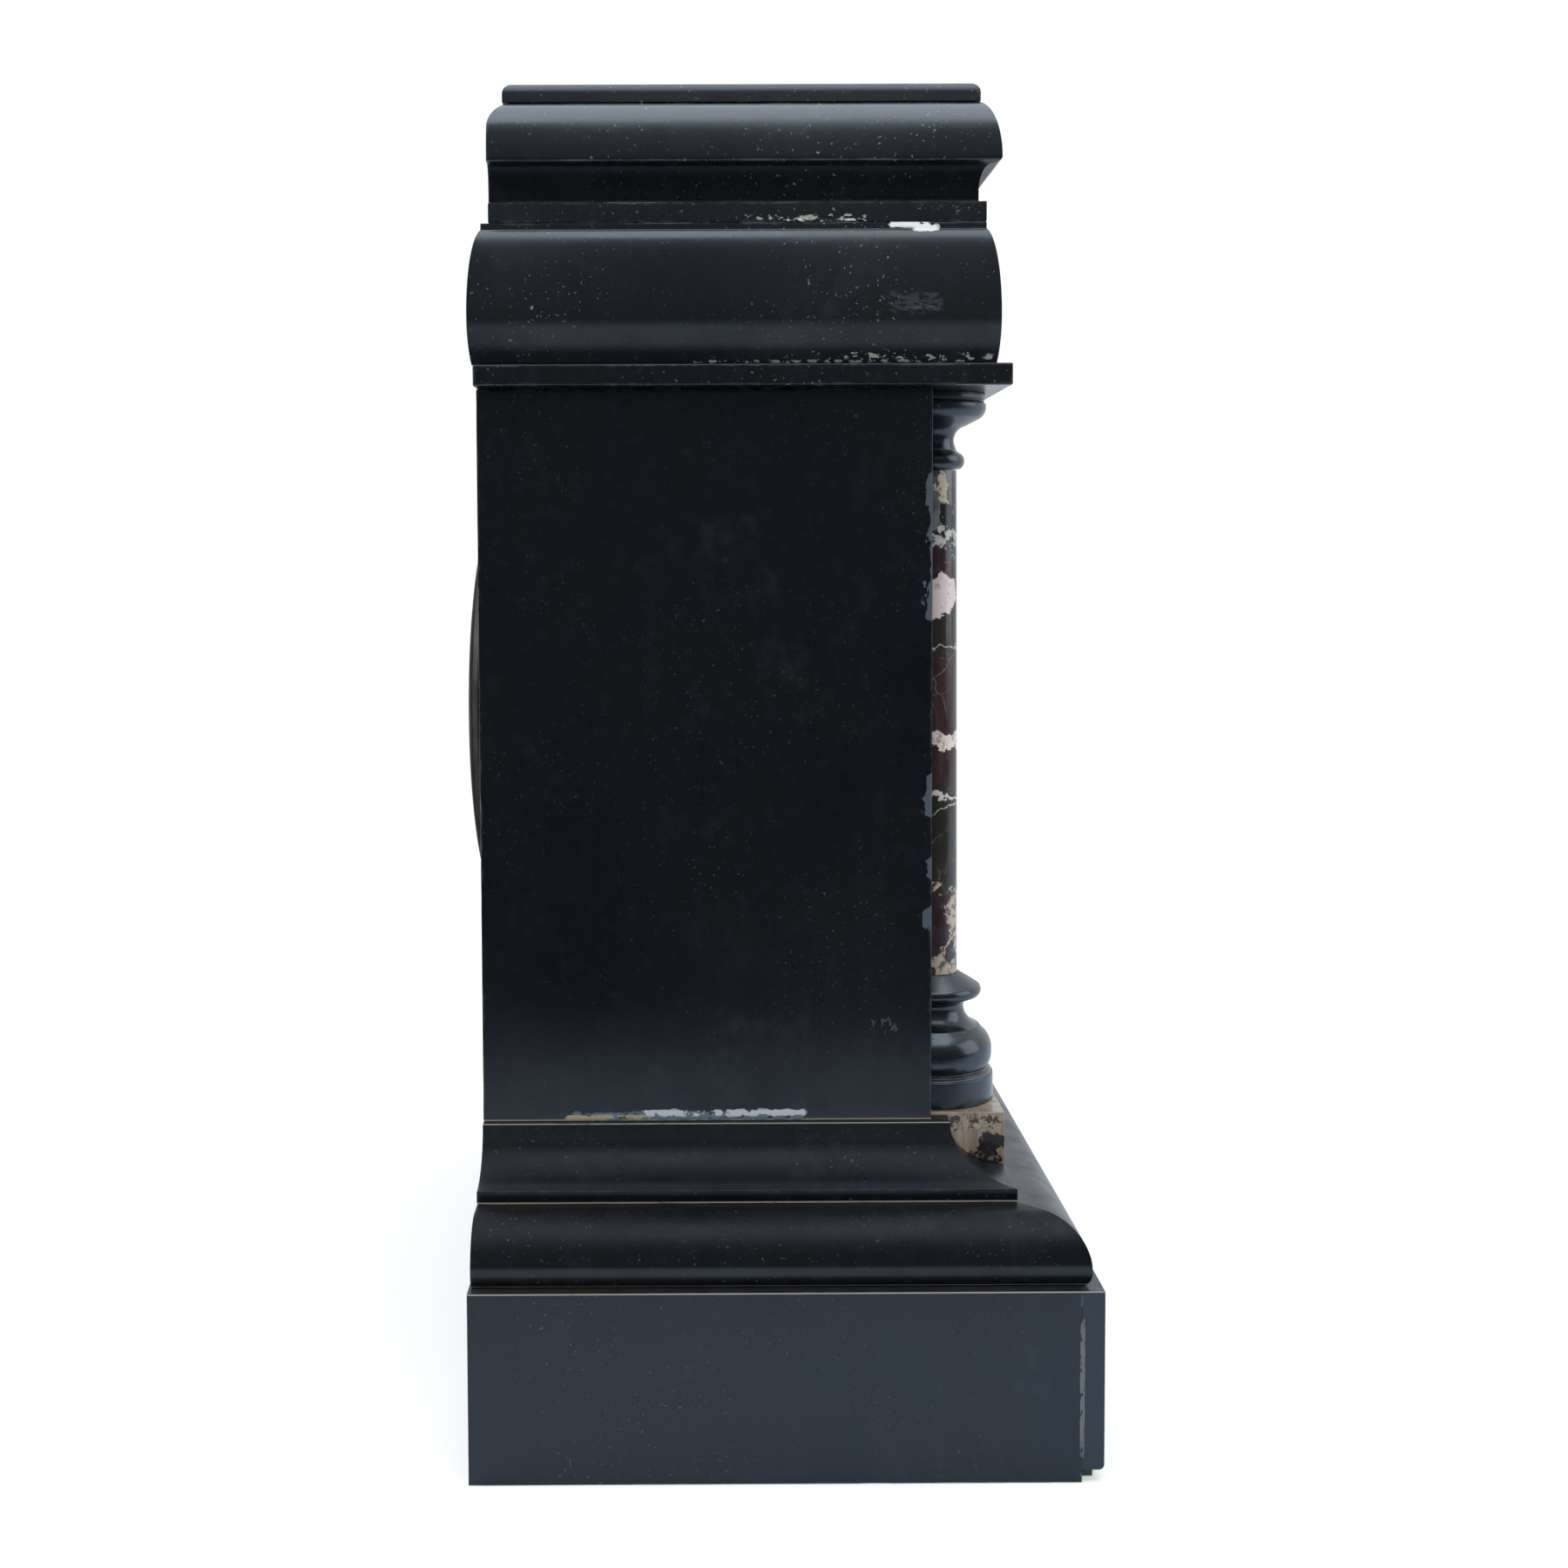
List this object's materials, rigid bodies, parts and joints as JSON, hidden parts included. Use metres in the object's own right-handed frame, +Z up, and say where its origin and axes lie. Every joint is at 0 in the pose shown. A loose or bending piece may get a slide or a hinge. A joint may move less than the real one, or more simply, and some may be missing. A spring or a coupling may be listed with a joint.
{
  "type": "mantel clock",
  "caption": "Architectural slate mantel clock with marble columns, moulded base and cornice, glazed hinged bezel, domed rear door and a striking pendulum movement.",
  "frame": {"origin": "centre of the plinth's underside, on the felt pad's bottom face", "axes": "+Z up, the dial faces -Y, +X to the viewer's right"},
  "size_m": [0.36, 0.1964, 0.4037],
  "materials": {
    "slate": "honed blue-black slate, worn arrises",
    "polished_slate": "turned and polished black slate",
    "marble": "polished brecciated marble, red-brown with pale veins",
    "felt": "green felt",
    "board": "plain softwood",
    "gilt_brass": "lacquered, bright",
    "patinated_brass": "dull, browned with age",
    "clock_brass": "fine brushed",
    "bell_metal": "pale turned bell metal",
    "steel": "grey steel",
    "blued_steel": "heat-blued",
    "enamel": "fired white enamel",
    "glass": "flat clear glass"
  },
  "bodies": {
    "root": {"plinth_front": "slate", "plinth_left": "slate", "plinth_right": "slate", "plinth_back": "slate", "ovolo_front": "slate", "ovolo_sides": "slate", "cavetto_front": "slate", "cavetto_sides": "slate", "base_back": "slate", "side_panel_left": "slate", "side_panel_right": "slate", "front_panel": "slate", "back_panel": "slate", "cornice_plate": "slate", "frieze_front": "slate", "frieze_sides": "slate", "frieze_back": "slate", "crown_front": "slate", "crown_sides": "slate", "crown_back": "slate", "top_slab": "slate", "column_bases": "polished_slate", "column_capitals": "polished_slate", "column_blocks": "marble", "column_shafts": "marble", "felt_pad": "felt", "base_board": "board", "front_ring": "gilt_brass", "rear_ring": "gilt_brass", "hinge_pins": "patinated_brass", "front_plate": "clock_brass", "back_plate": "clock_brass", "plate_pillars": "clock_brass", "suspension": "clock_brass", "bell": "bell_metal", "bell_stand": "steel", "tie_rods": "steel", "dial": "enamel"},
    "bezel": {"bezel": "gilt_brass", "bezel_glass": "glass"},
    "rear_door": {"rear_door": "patinated_brass"},
    "minute_hand": {"minute_hand": "blued_steel", "cannon_pinion": "clock_brass"},
    "minute_wheel": {"minute_wheel": "clock_brass"},
    "hour_hand": {"hour_hand": "blued_steel", "hour_wheel": "clock_brass"},
    "escape_wheel": {"escape_wheel": "clock_brass"},
    "third_wheel": {"third_wheel": "clock_brass"},
    "centre_wheel": {"centre_wheel": "clock_brass"},
    "going_barrel": {"going_barrel": "clock_brass"},
    "going_arbor": {"going_arbor": "steel"},
    "pendulum": {"pendulum": "clock_brass"},
    "pallets": {"pallets": "steel"},
    "fly": {"fly": "clock_brass"},
    "locking_wheel": {"locking_wheel": "clock_brass"},
    "pin_wheel": {"pin_wheel": "clock_brass"},
    "strike_wheel": {"strike_wheel": "clock_brass"},
    "strike_barrel": {"strike_barrel": "clock_brass"},
    "strike_arbor": {"strike_arbor": "steel"},
    "hammer": {"hammer": "steel"}
  },
  "joints": [
    {"name": "bezel_hinge", "type": "hinge", "parent": "root", "child": "bezel", "pos_m": [0.0694, -0.02825, 0.21], "axis": [0, 0, 1], "range_deg": [0, 100]},
    {"name": "rear_door_hinge", "type": "hinge", "parent": "root", "child": "rear_door", "pos_m": [0.0756, 0.09215, 0.21], "axis": [0, 0, -1], "range_deg": [0, 110]},
    {"name": "hand_setting", "type": "hinge", "parent": "root", "child": "minute_hand", "pos_m": [0, -0.02, 0.21], "axis": [0, -1, 0], "continuous": true},
    {"name": "minute_wheel_turn", "type": "hinge", "parent": "root", "child": "minute_wheel", "pos_m": [-0.00803, -0.0145, 0.22147], "axis": [0, -1, 0], "continuous": true},
    {"name": "hour_hand_turn", "type": "hinge", "parent": "root", "child": "hour_hand", "pos_m": [0, -0.02, 0.21], "axis": [0, -1, 0], "continuous": true},
    {"name": "going_train", "type": "hinge", "parent": "root", "child": "centre_wheel", "pos_m": [0, 0.0044, 0.21], "axis": [0, -1, 0], "continuous": true},
    {"name": "going_barrel_turn", "type": "hinge", "parent": "root", "child": "going_barrel", "pos_m": [0.02132, 0.0044, 0.20006], "axis": [0, -1, 0], "continuous": true},
    {"name": "third_wheel_turn", "type": "hinge", "parent": "root", "child": "third_wheel", "pos_m": [0.01293, 0.0044, 0.22281], "axis": [0, -1, 0], "continuous": true},
    {"name": "escape_wheel_turn", "type": "hinge", "parent": "root", "child": "escape_wheel", "pos_m": [0, 0.0044, 0.2295], "axis": [0, -1, 0], "continuous": true},
    {"name": "going_winding", "type": "hinge", "parent": "root", "child": "going_arbor", "pos_m": [0.02132, 0.0044, 0.20006], "axis": [0, -1, 0], "continuous": true},
    {"name": "pendulum_swing", "type": "hinge", "parent": "root", "child": "pendulum", "pos_m": [0, 0.0302, 0.243], "axis": [0, -1, 0], "range_deg": [-4, 4]},
    {"name": "pallet_rock", "type": "hinge", "parent": "root", "child": "pallets", "pos_m": [0, 0.0044, 0.243], "axis": [0, -1, 0], "range_deg": [-4, 4]},
    {"name": "strike_train", "type": "hinge", "parent": "root", "child": "strike_wheel", "pos_m": [-0.0254, 0.0044, 0.22322], "axis": [0, -1, 0], "continuous": true},
    {"name": "strike_barrel_turn", "type": "hinge", "parent": "root", "child": "strike_barrel", "pos_m": [-0.02132, 0.0044, 0.20006], "axis": [0, -1, 0], "continuous": true},
    {"name": "pin_wheel_turn", "type": "hinge", "parent": "root", "child": "pin_wheel", "pos_m": [-0.01557, 0.0044, 0.23494], "axis": [0, -1, 0], "continuous": true},
    {"name": "locking_wheel_turn", "type": "hinge", "parent": "root", "child": "locking_wheel", "pos_m": [-0.01931, 0.0044, 0.24523], "axis": [0, -1, 0], "continuous": true},
    {"name": "fly_turn", "type": "hinge", "parent": "root", "child": "fly", "pos_m": [-0.01233, 0.0044, 0.24849], "axis": [0, -1, 0], "continuous": true},
    {"name": "strike_winding", "type": "hinge", "parent": "root", "child": "strike_arbor", "pos_m": [-0.02132, 0.0044, 0.20006], "axis": [0, -1, 0], "continuous": true},
    {"name": "hammer_lift", "type": "hinge", "parent": "root", "child": "hammer", "pos_m": [-0.0205, 0.035, 0.17449], "axis": [0, -1, 0], "range_deg": [0, 12], "stiffness_Nm_per_rad": 0.001, "springref_deg": -17.19}
  ],
  "couplings": [
    {"joint": "minute_wheel_turn", "follows": "hand_setting", "ratio": -0.33333},
    {"joint": "hour_hand_turn", "follows": "hand_setting", "ratio": 0.083333},
    {"joint": "going_barrel_turn", "follows": "going_train", "ratio": -0.16667},
    {"joint": "third_wheel_turn", "follows": "going_train", "ratio": -12},
    {"joint": "escape_wheel_turn", "follows": "going_train", "ratio": 144},
    {"joint": "pallet_rock", "follows": "pendulum_swing", "ratio": 1},
    {"joint": "strike_barrel_turn", "follows": "strike_train", "ratio": -0.16667},
    {"joint": "pin_wheel_turn", "follows": "strike_train", "ratio": -11.143},
    {"joint": "locking_wheel_turn", "follows": "strike_train", "ratio": 105.06},
    {"joint": "fly_turn", "follows": "strike_train", "ratio": -720.42}
  ]
}
